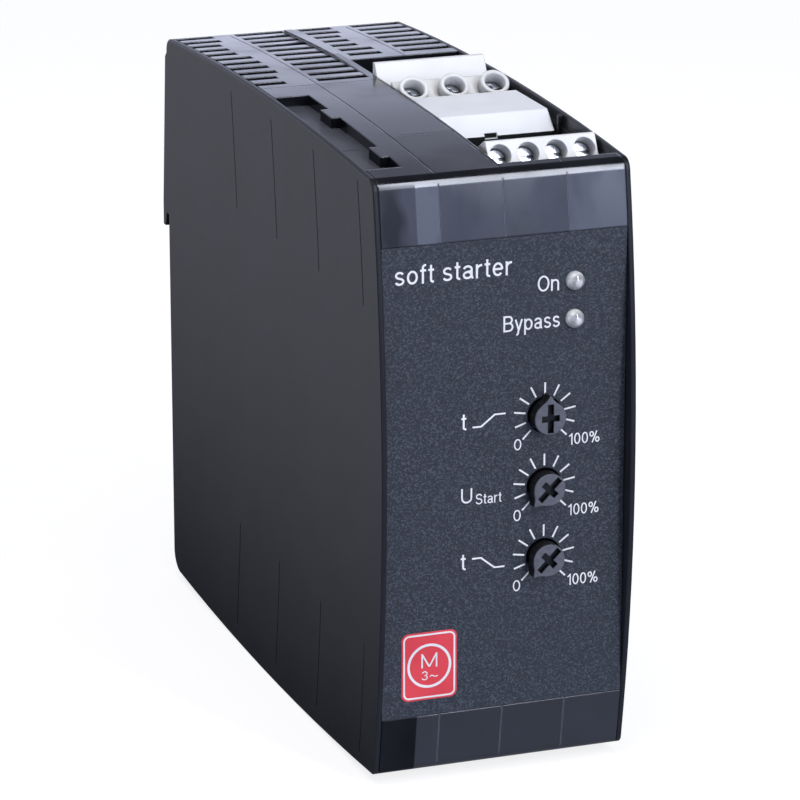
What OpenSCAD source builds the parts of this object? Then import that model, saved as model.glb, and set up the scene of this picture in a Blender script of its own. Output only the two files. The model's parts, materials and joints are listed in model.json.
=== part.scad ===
// Soft starter in a narrow case for a 35 mm mounting rail.
// Millimetres, +Z up, the front faces -Y, origin at the bottom centre.
// Depths are measured back from the front corners of the case.

/* [Case] */
// Width across both side plates
case_w = 45; // [44:0.5:52]
// Height at the corners, without the crowns
corner_h = 103; // [101:0.5:112]
// Rise of the curved top and bottom at mid depth
crown = 2; // [1:0.1:3]
// Depth from the front corners to the rail seat
case_d = 113.2; // [112:0.2:122]
// Forward bow of the front edges at mid height
front_bow = 4.5; // [3.5:0.1:5.5]
// Wall thickness of the centre frame
wall = 2; // [1.6:0.1:2.4]
// Depth of the inner face of the front wall
front_wall = 2.4; // [2.2:0.1:3]
// Thickness of a side plate inside the frame
plate_t = 1.2; // [1:0.1:1.5]
// Thickness of its thinner rim over the edge of the frame
rim_t = 0.85; // [0.7:0.05:0.9]
// Height and inset of the stepped outer edge of a side plate
edge_step = 0.15; // [0.1:0.05:0.3]
// Width of the seam between the frame and a side plate
seam_w = 0.15; // [0.1:0.05:0.4]
// Depth of that seam
seam_depth = 0.2; // [0.1:0.05:0.6]
// Round of the upper front edge
round_top_front = 2.4; // [1.5:0.1:2.8]
// Round of the upper back edge
round_top_back = 2.5; // [1.5:0.1:3]
// Round of the lower front edge
round_low_front = 1.5; // [1:0.1:2.5]
// Round of the lower back edge
round_low_back = 4; // [2:0.1:5]
// Width of the fine mould lines between the columns
line_w = 0.15; // [0.1:0.05:0.4]
// Depth of the mould lines
line_depth = 0.1; // [0.1:0.05:0.3]

/* [Side grooves] */
// Width of a groove
groove_w = 0.25; // [0.2:0.05:0.8]
// Depth of a groove
groove_depth = 0.2; // [0.1:0.05:0.5]
// Depth of the first groove behind the front edge
groove_first = 7.45; // [5:0.05:10]
// Distance between grooves
groove_pitch = 22.35; // [18:0.05:24]
// Grooves in each row
groove_count = 4; // [1:1:4]
// Height of a groove
groove_len = 22; // [10:0.5:30]
// Distance of a groove from the edge of the plate
groove_in = 1.5; // [0.5:0.1:3]

/* [Vents] */
// Distance between vent rows
vent_pitch = 4.6; // [4.2:0.1:4.7]
// Open width of a vent
vent_slot = 2.4; // [1.8:0.1:2.8]
// Distance of the first vent from the rail seat
vent_back = 2.6; // [2.4:0.1:3]
// Rows in the two columns without terminals
rows_long = 11; // [6:1:11]
// Rows in the two columns behind the terminals
rows_short = 7; // [4:1:7]
// Reach of a long vent from its column's edge
vent_long = 7.9; // [7:0.1:9]
// Reach of a short vent from its column's edge
vent_short = 6.5; // [5:0.1:7]
// Bar left beside a full-width vent
vent_margin = 1; // [0.6:0.1:1.5]

/* [Marker pocket] */
// Depth of the pocket below the top
pocket_depth = 1.9; // [1:0.1:2.8]
// Distance of the pocket's front end from the front corners
pocket_front = 6; // [5:0.5:10]
// Distance of the pocket's back end from the front corners
pocket_back = 53; // [45:0.5:55]
// Reach of the pocket from the left side
pocket_w = 7.2; // [6:0.1:9]
// Reach of each tooth into the pocket
tooth_reach = 1.5; // [0.5:0.1:2]
// Length of a tooth
tooth_len = 5.6; // [3:0.1:8]
// Distance of the front tooth from the front corners
tooth_front = 12.1; // [10:0.1:18]
// Distance of the back tooth from the front corners
tooth_back = 36.7; // [28:0.1:44]

/* [Front panel] */
// Smooth band above the panel
band_top = 10.9; // [9:0.1:14]
// Smooth band below the panel
band_low = 10.3; // [9:0.1:14]
// Thickness of the panel
panel_t = 2; // [1.6:0.1:2]
// Gap around the panel
panel_gap = 0.1; // [0.05:0.05:0.3]
// Ledge that carries the panel
panel_ledge = 2.7; // [2:0.1:3]
// Distance of the lamps from the right side plate
lamp_in = 9; // [7:0.1:11]
// Drop of the first lamp below the top of the panel
lamp_drop = 8.5; // [6:0.1:12]
// Distance between the lamps
lamp_pitch = 6.5; // [5:0.1:8]
// Diameter of a lamp
lamp_d = 3.25; // [2.5:0.05:4]
// Height of a lamp above the panel
lamp_rise = 1.7; // [1:0.1:2.5]
// Distance of the knobs from the right side plate
knob_in = 14.1; // [12:0.1:17]
// Drop of the first knob below the top of the panel
knob_drop = 31.1; // [26:0.1:34]
// Distance between the knobs
knob_pitch = 12.4; // [11.5:0.1:13.5]
// Diameter of a knob
knob_d = 5.25; // [4:0.05:6]
// Reach of a knob's pointer from its axis
pointer_r = 3.66; // [3.2:0.02:4.2]
// Height of a knob above the panel
knob_rise = 2.75; // [2:0.05:2.8]
// Gap between a knob and the panel's face
knob_gap = 0.35; // [0.2:0.05:0.6]
// Diameter of a knob's stem
stem_d = 3; // [2.5:0.1:4]
// Radial clearance of the stem in its potentiometer
stem_clear = 0.05; // [0.02:0.01:0.1]
// Clearance of a knob's hub in the panel
hub_clear = 0.5; // [0.3:0.1:0.8]

/* [Terminals] */
// Front end of the terminal opening
well_front = 3.5; // [3:0.1:4.5]
// Back end of the terminal opening
well_back = 77.5; // [77:0.1:78]
// Gap between a terminal block and the right side plate
term_gap = 0.3; // [0.2:0.05:0.6]
// Extra depth of the lower terminals inside the case
low_inset = 2.4; // [2.2:0.1:3]
// Depth of the ridge of the power block
power_ridge = 63.3; // [62.5:0.1:64]
// Height of that ridge above the case
power_rise = 2.1; // [1:0.1:2.1]
// Slope of the hood under the ridge
hood_slope = 60; // [55:1:65]
// Slope of the screw face
collar_slope = 40; // [36:1:44]
// Width of the block taken by half a pole at both ends together
pole_margin = 5.5; // [5.2:0.1:6]
// Outer diameter of a screw collar
collar_d = 4.9; // [4.8:0.05:5.4]
// Height of a screw collar
collar_rise = 2.3; // [0.5:0.1:2.5]
// Diameter of the screw well in a collar
power_well_d = 4.1; // [3.9:0.05:4.2]
// Head diameter of a power screw
power_head_d = 3.4; // [3:0.05:3.8]
// Depth of the ridge of the control block
control_ridge = 11.8; // [11:0.1:12.5]
// Slope of the control block's face
control_slope = 60; // [57:1:63]
// Diameter of a control screw's well
control_well_d = 3.8; // [3.5:0.05:4]
// Head diameter of a control screw
control_head_d = 3.4; // [2.8:0.05:3.4]
// Width of a screw's slot
slot_w = 0.6; // [0.4:0.05:0.8]
// Gap between the terminal cover and the power block
cover_gap = 1.9; // [1:0.1:3]
// Depth of the terminal cover
cover_len = 18; // [16:0.1:20]
// Depth of the cover's sloping front
cover_slope = 3.4; // [2:0.1:5]
// Drop of the cover's sloping front
cover_fall = 3.1; // [2:0.1:4]

/* [Rail] */
// Height of the mounting rail
rail_h = 35; // [35:0.1:35.3]
// Thickness of the rail's lips
lip_t = 1; // [1:0.1:1.3]
// Clearance behind the lips
lip_gap = 0.2; // [0.1:0.05:0.4]
// Clearance above the rail
rail_clear = 0.4; // [0.2:0.1:0.6]
// Reach of the hook behind the rail seat
hook_out = 3.3; // [3:0.1:4]
// Overlap of the hook behind the upper lip
hook_drop = 2.2; // [1.5:0.1:3]
// Width of the latch
latch_w = 14; // [12:0.5:18]
// Width of the latch's neck
latch_neck = 10; // [8:0.5:11]
// Travel of the latch
latch_travel = 4.5; // [3:0.1:4.5]
// Clearance of the latch in its channel
latch_clear = 0.15; // [0.1:0.05:0.3]
// Overlap of the latch behind the lower lip
claw_rise = 1.3; // [1:0.1:2]

/* [Inside] */
// Thickness of the circuit boards
board_t = 1.6; // [1:0.1:2]
// Depth of the control board
board_d = 10; // [9:0.1:10.4]
// Right face of the power board
board_x = 0.5; // [0:0.1:1]
// Thickness of the heat sink's base
sink_base = 4; // [3:0.5:4.5]
// Thickness of a fin
fin_t = 1.5; // [1:0.1:2]
// Number of fins
fin_count = 10; // [6:1:10]
// Gap between the heat sink and a side plate
sink_gap = 0.1; // [0.05:0.05:0.3]

/* [Hidden] */
$fn = 48;
arc_fn = 720;
// Overlap that keeps a corner round from being exactly tangent
blend = 0.02;
// Overlap that carries a cut past a face
past = 1;

frame_w = case_w - 2 * plate_t;
frame_x = frame_w / 2;
rim_x = case_w / 2 - rim_t;
column_w = case_w / 4;
z_high = corner_h + 2 * crown;
z_mid = z_high / 2;
z_corner = crown + corner_h;
y_front = -(case_d + hook_out - front_bow) / 2;
r_crown = (pow(case_d / 2, 2) + crown * crown) / (2 * crown);
r_bow = (pow(corner_h / 2, 2) + front_bow * front_bow) / (2 * front_bow);
top_centre = [case_d / 2, z_high - r_crown];
low_centre = [case_d / 2, r_crown];
bow_centre = [r_bow - front_bow, z_mid];

panel_low = crown + band_low;
panel_top = z_corner - band_top;
panel_face = max(bow_at(panel_low), bow_at(panel_top));
panel_back = panel_face + panel_t;
lamps_z = [for (k = [0:1]) panel_top - lamp_drop - k * lamp_pitch];
knobs_z = [for (k = [0:2]) panel_top - knob_drop - k * knob_pitch];
// Rest angles of the knobs, clockwise from straight up
knob_rest = [0, -135, -135];
lamp_x = frame_x - lamp_in;
knob_x = frame_x - knob_in;
lamp_clear = 0.1;
post_d = 4;
post_x = 16.2;
posts_z = [knobs_z[0] + 9, knobs_z[2] - 8];
pot_w = 9.4;
pot_front = 4.5;
stem_end = 9.4;
board_low = panel_low + 11.7;
board_high = panel_top - 6.1;
board_w = frame_w - 5;

term_right = frame_x - term_gap;
term_mid = (board_x + term_right) / 2;
block_w = term_right - board_x;
power_pitch = (block_w - pole_margin) / 2;
power_depth = 17;
power_back = power_ridge + 0.9;
collar_top = [power_ridge - 9, z_high + 0.5];
power_front = collar_top[0] - 6.8;
channel_w = 2.2;
hood_low = 2;
collar_centre = 3.05;
channel_floor = 8.5;
hood_foot = power_ridge - (power_rise + channel_floor - hood_low) / tan(hood_slope);
power_x = [for (k = [-1:1]) term_mid + k * power_pitch];
power_seat = 3.5;
power_head_t = 1.7;
power_shank_d = 2.5;
power_shank_end = 5.3;
cover_back = power_front - cover_gap;
cover_front = cover_back - cover_len;
cover_break = cover_front + cover_slope;
cover_side = 0.8;
cover_drop = 0.35;
cover_depth = 10;
control_depth = 16;
control_front = 5.6;
control_back = control_ridge + 7.2;
control_drop = 0.2;
control_step = 1;
control_left = board_x + control_step;
control_margin = 4.5;
control_pitch = (term_right - control_left - control_margin) / 3;
control_centre = 2.5;
control_x = [for (k = [-1.5:1:1.5]) (control_left + term_right) / 2 + k * control_pitch];
control_seat = 4.1;
control_head_t = 1.4;
control_shank_d = 2;
control_shank_end = 6.4;
shank_clear = 0.1;
seat_clear = 0.1;
entry_w = 3.4;
entry_d = [control_ridge + 3.5, control_ridge + 6.5];
entry_floor = 12;
clamp_t = 1.4;
clamp_side = 0.05;
serration_w = 0.2;
serration_h = 0.3;

rail_top = z_mid + rail_h / 2;
rail_low = z_mid - rail_h / 2;
lip_back = case_d + lip_t + lip_gap;
latch_top = rail_low - rail_clear / 2;
latch_bottom = round_low_back + latch_travel;
flange_t = 1.2;
latch_front = case_d - 2.6;
latch_window = [13.7, 28];
ledge_t = 1.5;
window_w = 5.2;
spring_d = 2;
wire_d = 0.4;
spring_turns = 8;
boss_wall = 1.6;
relief_w = 0.4;

rib_front = case_d - vent_back - rows_long * vent_pitch;
rib_w = 1.4;
rib_rise = 0.4;
notch_w = 1.2;
notch_back = 2;
cross_line = 23;
tray_t = 1.2;
tongue_reach = 3;
tongue_len = 18;
tongue_back = 8;
tongue_t = 1.2;
tongue_gap = 0.2;
plate_rib = 0.7;
plate_rib_h = 20;
well_wall = 1.5;
partition_low = z_high - 8.7;
board_gap = 0.2;
power_board_front = board_d + board_t + 1.4;
sink_front = well_back - 5.5;
power_board_back = sink_front - 2;
sink_top = z_high - 16;
sink_h = 2 * sink_top - z_high;
fin_end = case_d - wall - 6.2;
module_t = 5;
module_size = [16, 21];
module_x = -19;
module_z = 15;
screw_x = module_x + module_size[0] / 2;
screw_up = 5;
module_screw_d = 2.9;
module_head_d = 5.6;
module_hole_d = 3.4;
lead_t = 0.6;
lead_w = 1.2;
lead_back = 3;
lead_pitch = 5.4;
relay_size = [15.7, 29, 12.7];
relay_z = 15;
relay_front = 20;
capacitor_place = [35, 48];
capacitor_d = [10, 8];
capacitor_h = [16, 13];
connector_w = 5;
connector_d = 7.4;
connector_low = 6;
connector_h = 20;
connector_z = [z_mid + connector_low, z_mid + connector_low + connector_h];
chip_w = 10;
chip_x = -14;
chip_drop = 12;
chip_z = z_mid - chip_drop;

charcoal = [0.15, 0.155, 0.17];
slate = [0.2, 0.215, 0.24];
white = [0.93, 0.93, 0.94];
pale_grey = [0.83, 0.84, 0.87];
steel = [0.72, 0.73, 0.75];
board_green = [0.1, 0.32, 0.2];

// Depth of the bowed front at height z
function bow_at(z) = bow_centre[0] - sqrt(r_bow * r_bow - pow(z - z_mid, 2));

// Meeting point of two circles, on the given side of the line from a to b
function circles_meet(a, ra, b, rb, side) =
    let (
        span = norm(b - a),
        u = (b - a) / span,
        along = (span * span + ra * ra - rb * rb) / (2 * span),
        off = sqrt(ra * ra - along * along)
    )
    a + u * along + side * off * [-u[1], u[0]];

// Centre of a round that touches the back plane and a crown circle
function back_round(centre, r, up) =
    let (d = case_d - r)
    [d, centre[1] + up * sqrt(pow(r_crown - r, 2) - pow(d - centre[0], 2))];

function unit(v) = v / norm(v);

// Sideways extrusion of a shape drawn in depth and height
module yz(x, w) {
    translate([x, y_front, 0])
        rotate([90, 0, 90])
            linear_extrude(w)
                children();
}

// Block between two places across, in depth and in height
module slab(x, d, z) {
    translate([x[0], y_front + d[0], z[0]])
        cube([x[1] - x[0], d[1] - d[0], z[1] - z[0]]);
}

// Rod along the depth at a place across and a height
module rod(x, z, d, dia) {
    translate([x, y_front + d[0], z])
        rotate([-90, 0, 0])
            cylinder(d = dia, h = d[1] - d[0]);
}

// Mirror image at the bottom of the case
module low() {
    translate([0, 0, z_high])
        mirror([0, 0, 1])
            children();
}

module both() {
    children();
    low() children();
}

// Lower terminals sit deeper, so that the case stands on its own bottom
module low_terminal() {
    low()
        translate([0, 0, -low_inset])
            children();
}

// Crowned and bowed side view with square corners, drawn in by i
module case_shape(i = 0) {
    intersection() {
        translate(top_centre) circle(r_crown - i, $fn = arc_fn);
        translate(low_centre) circle(r_crown - i, $fn = arc_fn);
        translate(bow_centre) circle(r_bow - i, $fn = arc_fn);
        translate([-front_bow - past, 0]) square([case_d + front_bow + past - i, z_high]);
    }
}

// Hollow of the case, drawn in by i
module cavity(i = 0) {
    intersection() {
        case_shape(wall + i);
        translate([front_wall + i, 0]) square([case_d, z_high]);
    }
}

// What a corner round cuts away, between the directions n1 and n2
module corner_waste(centre, n1, n2, r) {
    translate(centre)
        difference() {
            polygon([[0, 0], 4 * r * n1, 4 * r * (n1 + n2), 4 * r * n2]);
            circle(r + blend, $fn = 96);
        }
}

module front_round(centre, r, i, side) {
    f = circles_meet(centre, r_crown - r, bow_centre, r_bow - r, side);
    corner_waste(f, unit(f - centre), unit(f - bow_centre), r - i);
}

module back_corner(centre, r, i, up) {
    f = back_round(centre, r, up);
    corner_waste(f, unit(f - centre), [1, 0], r - i);
}

// Hook behind the upper lip of the rail
module hook_shape() {
    hook_high = z_corner - round_top_back - 0.3;
    polygon([
        [case_d - wall, hook_high],
        [case_d, hook_high],
        [case_d + hook_out / 4, hook_high - hook_out / 4],
        [case_d + hook_out, rail_top + 2],
        [case_d + hook_out, rail_top - hook_drop],
        [lip_back + 0.8, rail_top - hook_drop],
        [lip_back, rail_top + rail_clear],
        [case_d - wall, rail_top + rail_clear]
    ]);
}

// Full side view of the case, drawn in by i at its edges
module outline(i = 0) {
    difference() {
        case_shape(i);
        front_round(top_centre, round_top_front, i, 1);
        front_round(low_centre, round_low_front, i, -1);
        back_corner(top_centre, round_top_back, i, 1);
        back_corner(low_centre, round_low_back, i, -1);
    }
    hook_shape();
}

// Vents through the top wall
module vents() {
    row = function(k) case_d - vent_back - vent_slot - k * vent_pitch;
    reach = function(k) (k == 2 || k == 3 || k == 4 || k > 8) ? vent_short : vent_long;
    z = [z_corner - 2 * wall, z_high + past];
    for (k = [0:rows_long - 1]) {
        d = [row(k), row(k) + vent_slot];
        slab([-case_w / 2, -2 * column_w + reach(k)], d, z);
        slab([-column_w + vent_margin, -vent_margin], d, z);
        if (k < rows_short) {
            slab([2 * vent_margin, reach(k) + 0.4], d, z);
            slab([column_w + vent_margin, case_w / 2], d, z);
        }
    }
}

// Open space over the terminals, right of the partition
module terminal_opening() {
    slab([board_x, case_w / 2], [well_front, well_back], [partition_low, z_high + past]);
}

// Shallow pocket for marker strips, with two teeth on its inner side
module marker_pocket() {
    floor_z = z_high - crown - pocket_depth;
    difference() {
        yz(-case_w / 2, pocket_w)
            intersection() {
                translate([pocket_front, floor_z])
                    square([pocket_back - pocket_front, 2 * pocket_depth + crown]);
                difference() {
                    translate([0, floor_z]) square([case_d, 2 * pocket_depth + crown]);
                    translate(top_centre) circle(r_crown - pocket_depth, $fn = arc_fn);
                }
            }
        for (d = [tooth_front, tooth_back])
            slab([-case_w / 2 + pocket_w - tooth_reach, -case_w / 2 + pocket_w + past],
                [d, d + tooth_len], [floor_z - past, z_high + past]);
    }
}

// Partition beside the terminals and the wall behind them
module well_walls() {
    intersection() {
        yz(-frame_x, frame_w) case_shape(wall / 2);
        union() {
            slab([board_x - board_t, board_x], [front_wall, well_back + well_wall], [partition_low, z_high]);
            slab([board_x - blend, frame_x], [well_back, well_back + well_wall], [sink_top, z_high]);
        }
    }
}

// Tray that closes the marker pocket below
module pocket_tray() {
    yz(-frame_x, pocket_w - plate_t + tray_t)
        intersection() {
            difference() {
                case_shape(wall / 2);
                translate(top_centre) circle(r_crown - pocket_depth - tray_t, $fn = arc_fn);
            }
            translate([pocket_front - tray_t, z_mid])
                square([pocket_back - pocket_front + 2 * tray_t, z_high]);
        }
}

// Raised bar along the middle of the vented top, round at its front end
module top_rib() {
    front = rib_front + rib_w / 2;
    intersection() {
        yz(board_x - rib_w, rib_w)
            difference() {
                case_shape(-rib_rise);
                case_shape(wall / 2);
            }
        union() {
            slab([board_x - rib_w, board_x], [front, case_d - 2 * wall], [z_mid, z_high + past]);
            translate([board_x - rib_w / 2, y_front + front, z_mid])
                cylinder(d = rib_w, h = z_mid + past);
        }
    }
}

// Block inside the back wall that holds the latch channel
module latch_boss() {
    x = latch_w / 2 + latch_clear + boss_wall;
    yz(-x, 2 * x)
        intersection() {
            case_shape(wall / 2);
            translate([latch_front - latch_clear - boss_wall, 0])
                square([2 * wall + boss_wall, latch_top + 2 * boss_wall]);
        }
}

// Undercut channel in the back wall, open at the back and below
module latch_channel() {
    wide = latch_w / 2 + latch_clear;
    neck = latch_neck / 2 + latch_clear;
    top = latch_top + latch_clear;
    mouth = latch_front + flange_t + latch_clear;
    slab([-wide, wide], [latch_front - latch_clear, mouth], [-past, top]);
    slab([-neck, neck], [mouth - blend, case_d + past], [-past, rail_low + claw_rise + latch_clear]);
}

// Groove that ends the rail seat below the hook
module seat_relief() {
    high = rail_top - hook_drop - relief_w / 3;
    slab([-case_w / 2, case_w / 2], [case_d - relief_w, case_d + past / 2], [high - relief_w, high]);
}

// Ledge in the channel that carries the spring
module spring_ledge() {
    slab([-window_w / 2 + 0.3, window_w / 2 - 0.3], [latch_front - latch_clear - blend, case_d - 0.4],
        [latch_window[0] + rail_clear, latch_window[0] + rail_clear + ledge_t]);
}

// Fine line over a stretch across and a stretch in depth, in a surface drawn in by i
module surface_line(x, d, i = 0) {
    yz(x[0], x[1] - x[0])
        difference() {
            translate([d[0], -past]) square([d[1] - d[0], z_high + 2 * past]);
            case_shape(i + line_depth);
        }
}

module frame_lines() {
    for (x = [-column_w, column_w])
        surface_line([x - line_w / 2, x + line_w / 2], [-2 * front_bow, case_d - 2 * wall]);
    surface_line([-line_w / 2, line_w / 2], [-2 * front_bow, rib_front - line_w]);
    for (x = [-column_w, 0, column_w])
        slab([x, x + notch_w], [case_d - notch_back, case_d - notch_back + notch_w / 2],
            [z_corner - notch_w, z_high]);
    surface_line([-rim_x, 0], [rib_front - line_w, rib_front]);
    surface_line([-column_w, 0], [cross_line - line_w, cross_line]);
    surface_line([-rim_x, -case_w / 2 + pocket_w - tooth_reach], [cross_line - line_w, cross_line],
        pocket_depth);
}

module side_seams() {
    for (x = [-rim_x - past, rim_x - seam_w])
        yz(x, seam_w + past)
            difference() {
                translate([-2 * front_bow, -past]) square([case_d + 4 * front_bow, z_high + 2 * past]);
                case_shape(seam_depth);
            }
}

module panel_opening() {
    slab([-case_w / 2, case_w / 2], [-2 * front_bow, panel_back], [panel_low, panel_top]);
    x = frame_x - panel_ledge;
    slab([-x, x], [0, front_wall + past], [panel_low + panel_ledge, panel_top - panel_ledge]);
}

module centre_frame() {
    color(charcoal) {
        difference() {
            union() {
                difference() {
                    yz(-rim_x, 2 * rim_x) outline();
                    yz(-case_w / 2, case_w) cavity();
                }
                both() {
                    well_walls();
                    pocket_tray();
                }
                latch_boss();
                top_rib();
            }
            both() {
                vents();
                terminal_opening();
                marker_pocket();
            }
            panel_opening();
            latch_channel();
            seat_relief();
            frame_lines();
            side_seams();
        }
        spring_ledge();
    }
}

// Arc grooves that repeat the bow of the front edge
module grooves() {
    both()
        for (k = [0:groove_count - 1])
            yz(-case_w / 2 - past, past + groove_depth)
                translate([groove_first + k * groove_pitch, 0])
                    intersection() {
                        translate(bow_centre)
                            difference() {
                                circle(r_bow + groove_w / 2, $fn = arc_fn);
                                circle(r_bow - groove_w / 2, $fn = arc_fn);
                            }
                        translate([-2 * front_bow, z_corner - groove_len])
                            square([4 * front_bow, groove_len - groove_in]);
                    }
}

// Tongues that locate a side plate inside the frame
module tongues() {
    reach = [-frame_x - blend, -frame_x + tongue_reach];
    high = z_corner - wall - tongue_gap;
    front = front_wall + tongue_gap;
    both() {
        slab(reach, [case_d - tongue_back - tongue_len, case_d - tongue_back], [high - tongue_t, high]);
        slab(reach, [front, front + tongue_t], [high - tongue_len / 3, high - tongue_t]);
    }
}

// Side plate: a thin rim over the frame and a thicker field inside it
module plate() {
    difference() {
        union() {
            yz(-case_w / 2 + edge_step, rim_t - edge_step) outline();
            yz(-case_w / 2, edge_step + blend) outline(edge_step);
            yz(-rim_x - blend, plate_t - rim_t + blend) cavity(tongue_gap);
            tongues();
        }
        grooves();
    }
}

module left_side_plate() {
    color(charcoal) plate();
}

module right_side_plate() {
    color(charcoal) {
        mirror([1, 0, 0]) plate();
        both()
            intersection() {
                slab([frame_x - plate_rib, rim_x + blend], [cover_front - plate_rib, cover_front],
                    [z_corner - plate_rib_h, z_high]);
                yz(0, case_w) case_shape(edge_step);
            }
    }
}

module front_panel() {
    color(slate)
        difference() {
            union() {
                slab([-rim_x + panel_gap, rim_x - panel_gap], [panel_face, panel_back],
                    [panel_low + panel_gap, panel_top - panel_gap]);
                for (x = [-post_x, post_x], z = posts_z)
                    rod(x, z, [panel_face + panel_t / 2, board_d], post_d);
            }
            for (z = lamps_z)
                rod(lamp_x, z, [panel_face - past, panel_back + past], lamp_d + 2 * lamp_clear);
            for (z = knobs_z)
                rod(knob_x, z, [panel_face - past, panel_back + past], knob_d + 2 * hub_clear);
        }
}

// Round lamp with a domed front, a flange and two leads to the board
module lamp(k) {
    color([0.75, 0.76, 0.78]) {
        tip = panel_face - lamp_rise;
        z = lamps_z[k];
        rod(lamp_x, z, [tip + lamp_d / 2, panel_back + 1.2], lamp_d);
        translate([lamp_x, y_front + tip + lamp_d / 2, z]) sphere(d = lamp_d);
        rod(lamp_x, z, [panel_back + 0.1, panel_back + 1.2], lamp_d + 0.9);
        for (x = [-0.9, 0.4])
            slab([lamp_x + x, lamp_x + x + 0.5], [panel_back + 1, board_d], [z - 0.25, z + 0.25]);
    }
}

module lamp_on() { lamp(0); }
module lamp_bypass() { lamp(1); }

// Outline of a knob seen from the front, pointer up
module knob_shape(r, tip) {
    half = acos(r / tip);
    circle(r);
    polygon([r * [-sin(half), cos(half)], [-0.25, tip], [0.25, tip], r * [sin(half), cos(half)], [0, 0]]);
}

// Setting knob with its axis along the depth, built facing up and laid forward
module knob(k) {
    r = knob_d / 2;
    slot_long = 4.9;
    slot_short = 3.2;
    slot_open = 0.88;
    recess = 1.2;
    low_edge = 0.3;
    color([0.3, 0.3, 0.33])
        translate([knob_x, y_front + panel_face, knobs_z[k]])
            rotate([0, knob_rest[k], 0])
                rotate([90, 0, 0]) {
                    difference() {
                        union() {
                            translate([0, 0, knob_gap]) linear_extrude(knob_rise - knob_gap - low_edge)
                                knob_shape(r, pointer_r);
                            translate([0, 0, knob_rise - low_edge - blend]) linear_extrude(low_edge + blend)
                                knob_shape(r - 0.2, pointer_r - 0.25);
                        }
                        translate([-slot_open / 2, -r + 0.3, knob_rise - recess])
                            cube([slot_open, slot_long, 2 * recess]);
                        translate([-slot_short / 2, -slot_open / 2, knob_rise - recess])
                            cube([slot_short, slot_open, 2 * recess]);
                    }
                    translate([0, 0, panel_face - pot_front + 0.4])
                        cylinder(d = knob_d - 0.3, h = pot_front - panel_face - 0.4 + knob_gap + blend);
                    translate([0, 0, panel_face - stem_end]) cylinder(d = stem_d, h = stem_end - panel_face);
                }
}

module knob_ramp_up() { knob(0); }
module knob_start_voltage() { knob(1); }
module knob_ramp_down() { knob(2); }

module potentiometer(k) {
    z = knobs_z[k];
    h = pot_w / 2;
    color([0.2, 0.3, 0.5])
        difference() {
            slab([knob_x - h, knob_x + h], [pot_front, board_d], [z - h, z + h]);
            rod(knob_x, z, [pot_front - past, stem_end + 0.3], stem_d + 2 * stem_clear);
        }
}

module potentiometer_ramp_up() { potentiometer(0); }
module potentiometer_start_voltage() { potentiometer(1); }
module potentiometer_ramp_down() { potentiometer(2); }

module control_board() {
    color(board_green)
        slab([-board_w / 2, board_w / 2], [board_d, board_d + board_t], [board_low, board_high]);
}

module microcontroller() {
    chip_t = 1.4;
    leg = 0.4;
    back = board_d + board_t;
    color([0.1, 0.1, 0.11]) {
        slab([chip_x, chip_x + chip_w], [back + 0.1, back + chip_t], [chip_z, chip_z + chip_w]);
        for (k = [0:7], x = [chip_x - 2 * leg, chip_x + chip_w - leg / 2])
            slab([x, x + 2.5 * leg], [back, back + leg],
                [chip_z + (k + 0.8) * chip_w / 8.6 - leg, chip_z + (k + 0.8) * chip_w / 8.6]);
    }
}

module board_connector() {
    right = board_x - board_t;
    color([0.12, 0.12, 0.13])
        slab([right - connector_w, right], [board_d + board_t, board_d + board_t + connector_d], connector_z);
}

// Board along the depth, with arms that carry the control terminals
module power_board() {
    arm = 9.5;
    high = partition_low - board_gap;
    color(board_green)
        yz(board_x - board_t, board_t)
            polygon([
                [control_front, z_high - high],
                [power_board_back, z_high - high],
                [power_board_back, high],
                [control_front, high],
                [control_front, high - arm],
                [power_board_front, high - arm],
                [power_board_front, z_high - high + arm],
                [control_front, z_high - high + arm]
            ]);
}

module bypass_relay(z) {
    right = board_x - board_t;
    left = right - relay_size[0];
    h = relay_size[2] / 2;
    cap = 1;
    color([0.12, 0.13, 0.15]) {
        slab([left + cap, right], [relay_front, relay_front + relay_size[1]], [z - h, z + h]);
        slab([left, right], [relay_front + cap, relay_front + relay_size[1] - cap],
            [z - h + cap, z + h - cap]);
    }
}

module bypass_relay_upper() { bypass_relay(z_mid + relay_z); }
module bypass_relay_lower() { bypass_relay(z_mid - relay_z); }

module smoothing_capacitors() {
    rim = 1.2;
    color([0.15, 0.17, 0.3])
        for (k = [0:1])
            translate([board_x, y_front + capacitor_place[k], z_mid])
                rotate([0, 90, 0]) {
                    cylinder(d = capacitor_d[k], h = rim);
                    cylinder(d = capacitor_d[k] - rim / 2, h = 2 * rim);
                    translate([0, 0, 1.8 * rim]) cylinder(d = capacitor_d[k], h = capacitor_h[k] - 1.8 * rim);
                }
}

// Extruded heat sink, fins upright for the draught between the vents
module heat_sink() {
    w = frame_w - 2 * sink_gap;
    pitch = (w - 4 - fin_t) / (fin_count - 1);
    color(steel)
        difference() {
            translate([0, y_front, z_mid - sink_h / 2])
                linear_extrude(sink_h) {
                    translate([-w / 2, sink_front]) square([w, sink_base]);
                    for (k = [0:fin_count - 1])
                        translate([-w / 2 + 2 + k * pitch, sink_front])
                            square([fin_t, fin_end - sink_front]);
                }
            for (z = [z_mid - module_z, z_mid + module_z])
                rod(screw_x, z + screw_up, [sink_front - past, sink_front + sink_base - 0.5],
                    module_screw_d + 2 * stem_clear);
        }
}

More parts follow.
